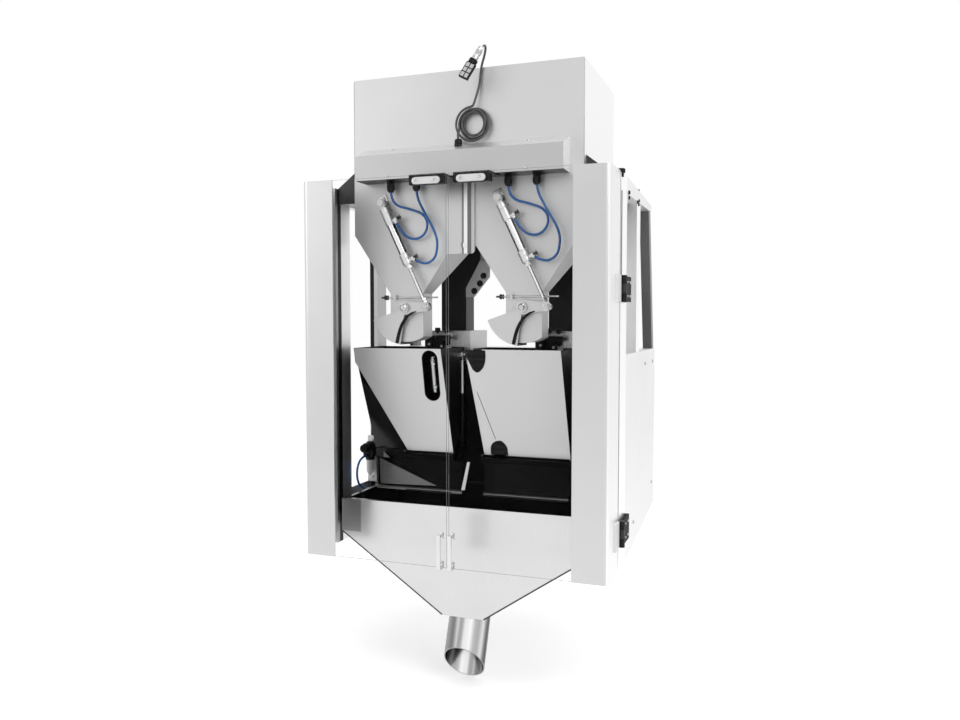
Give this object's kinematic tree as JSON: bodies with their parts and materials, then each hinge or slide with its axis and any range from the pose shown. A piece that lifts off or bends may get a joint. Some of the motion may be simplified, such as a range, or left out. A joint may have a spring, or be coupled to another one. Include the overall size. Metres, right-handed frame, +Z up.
{
  "type": "linear weigher",
  "caption": "Stainless linear weigher with feed hoppers, swing gates, weigh buckets, collecting funnel and spout behind clear hinged doors.",
  "frame": {"origin": "underside of the rear base beam, midway between the sides", "axes": "+Z up, -Y towards the doors at the front, +X to the right seen from the front"},
  "size_m": [0.78, 0.666, 1.5149],
  "materials": {
    "stainless": "satin brushed",
    "polished": "polished",
    "black_plastic": "matte",
    "dark_housing": "satin",
    "blue_hose": "gloss",
    "black_cable": "matte",
    "connector": "satin",
    "cylinder": "satin",
    "clear_sheet": "clear acrylic"
  },
  "bodies": {
    "frame": {"rear_cabinet": "stainless", "base_frame": "stainless", "frame_posts": "stainless", "top_rails": "stainless", "box_supports": "stainless", "supply_box": "stainless", "cover_strip": "stainless", "valve_box": "stainless", "glands": "black_plastic", "door_catches": "black_plastic", "head_fittings": "polished", "load_cells": "dark_housing", "bucket_carriers": "stainless", "bucket_brackets": "polished", "collecting_funnel": "stainless", "spout": "polished", "door_hinges": "black_plastic", "air_regulator": "black_plastic", "regulator_hose": "blue_hose", "signal_lead": "black_cable", "signal_coil": "black_cable", "signal_tail": "black_cable", "signal_connector": "connector", "left_side_panel": "stainless", "left_feed_hopper": "stainless", "left_weigh_bucket": "stainless", "right_side_panel": "stainless", "right_feed_hopper": "stainless", "right_weigh_bucket": "stainless"},
    "left_gate": {"left_sector_gate": "stainless"},
    "left_gate_barrel": {"left_gate_cylinder": "cylinder", "left_upper_hose": "blue_hose", "left_lower_hose": "blue_hose"},
    "left_gate_piston": {"left_gate_rod": "polished"},
    "left_discharge": {"left_discharge_door": "stainless"},
    "left_bucket_barrel": {"left_bucket_cylinder": "cylinder"},
    "left_bucket_piston": {"left_bucket_rod": "polished"},
    "left_door": {"left_door_stile": "stainless", "left_door_pane": "clear_sheet", "left_door_pull": "polished", "left_hinge_leaves": "black_plastic"},
    "right_gate": {"right_sector_gate": "stainless"},
    "right_gate_barrel": {"right_gate_cylinder": "cylinder", "right_upper_hose": "blue_hose", "right_lower_hose": "blue_hose"},
    "right_gate_piston": {"right_gate_rod": "polished"},
    "right_discharge": {"right_discharge_door": "stainless"},
    "right_bucket_barrel": {"right_bucket_cylinder": "cylinder"},
    "right_bucket_piston": {"right_bucket_rod": "polished"},
    "right_door": {"right_door_stile": "stainless", "right_door_pane": "clear_sheet", "right_door_pull": "polished", "right_hinge_leaves": "black_plastic"}
  },
  "joints": [
    {"name": "left_gate_hinge", "type": "hinge", "parent": "frame", "child": "left_gate", "pos_m": [-0.15, -0.4625, 0.545], "axis": [0, -1, 0], "range_deg": [0, 39.5]},
    {"name": "left_gate_barrel_swing", "type": "hinge", "parent": "frame", "child": "left_gate_barrel", "pos_m": [-0.207, -0.51, 0.799], "axis": [0, -1, 0], "range_deg": [-0.5, 2]},
    {"name": "left_gate_rod_slide", "type": "slide", "parent": "left_gate_barrel", "child": "left_gate_piston", "axis": [-0.427, 0, 0.9042], "range_m": [-0.001, 0.043]},
    {"name": "left_discharge_hinge", "type": "hinge", "parent": "frame", "child": "left_discharge", "pos_m": [-0.1125, -0.4425, 0.172], "axis": [-1, 0, 0], "range_deg": [0, 35]},
    {"name": "left_bucket_barrel_swing", "type": "hinge", "parent": "frame", "child": "left_bucket_barrel", "pos_m": [-0.035, -0.4065, 0.428], "axis": [1, 0, 0], "range_deg": [-0.5, 4.5]},
    {"name": "left_bucket_rod_slide", "type": "slide", "parent": "left_bucket_barrel", "child": "left_bucket_piston", "axis": [0, 0, -1], "range_m": [-0.001, 0.029]},
    {"name": "left_door_hinge", "type": "hinge", "parent": "frame", "child": "left_door", "pos_m": [-0.383, -0.488, 0.4], "axis": [0, 0, -1], "range_deg": [0, 110]},
    {"name": "right_gate_hinge", "type": "hinge", "parent": "frame", "child": "right_gate", "pos_m": [0.15, -0.4625, 0.545], "axis": [0, -1, 0], "range_deg": [0, 39.5]},
    {"name": "right_gate_barrel_swing", "type": "hinge", "parent": "frame", "child": "right_gate_barrel", "pos_m": [0.093, -0.51, 0.799], "axis": [0, -1, 0], "range_deg": [-0.5, 2]},
    {"name": "right_gate_rod_slide", "type": "slide", "parent": "right_gate_barrel", "child": "right_gate_piston", "axis": [-0.427, 0, 0.9042], "range_m": [-0.001, 0.043]},
    {"name": "right_discharge_hinge", "type": "hinge", "parent": "frame", "child": "right_discharge", "pos_m": [0.1415, -0.4425, 0.172], "axis": [-1, 0, 0], "range_deg": [0, 35]},
    {"name": "right_bucket_barrel_swing", "type": "hinge", "parent": "frame", "child": "right_bucket_barrel", "pos_m": [0.265, -0.4065, 0.428], "axis": [1, 0, 0], "range_deg": [-0.5, 4.5]},
    {"name": "right_bucket_rod_slide", "type": "slide", "parent": "right_bucket_barrel", "child": "right_bucket_piston", "axis": [0, 0, -1], "range_m": [-0.001, 0.029]},
    {"name": "right_door_hinge", "type": "hinge", "parent": "frame", "child": "right_door", "pos_m": [0.383, -0.488, 0.4], "axis": [0, 0, 1], "range_deg": [0, 110]}
  ],
  "couplings": [
    {"joint": "left_gate_barrel_swing", "follows": "left_gate_hinge", "ratio": 0.0294},
    {"joint": "left_gate_rod_slide", "follows": "left_gate_hinge", "m_per_rad": 0.0606},
    {"joint": "left_bucket_barrel_swing", "follows": "left_discharge_hinge", "ratio": 0.105},
    {"joint": "left_bucket_rod_slide", "follows": "left_discharge_hinge", "m_per_rad": 0.0445},
    {"joint": "right_gate_barrel_swing", "follows": "right_gate_hinge", "ratio": 0.0294},
    {"joint": "right_gate_rod_slide", "follows": "right_gate_hinge", "m_per_rad": 0.0606},
    {"joint": "right_bucket_barrel_swing", "follows": "right_discharge_hinge", "ratio": 0.105},
    {"joint": "right_bucket_rod_slide", "follows": "right_discharge_hinge", "m_per_rad": 0.0445}
  ]
}
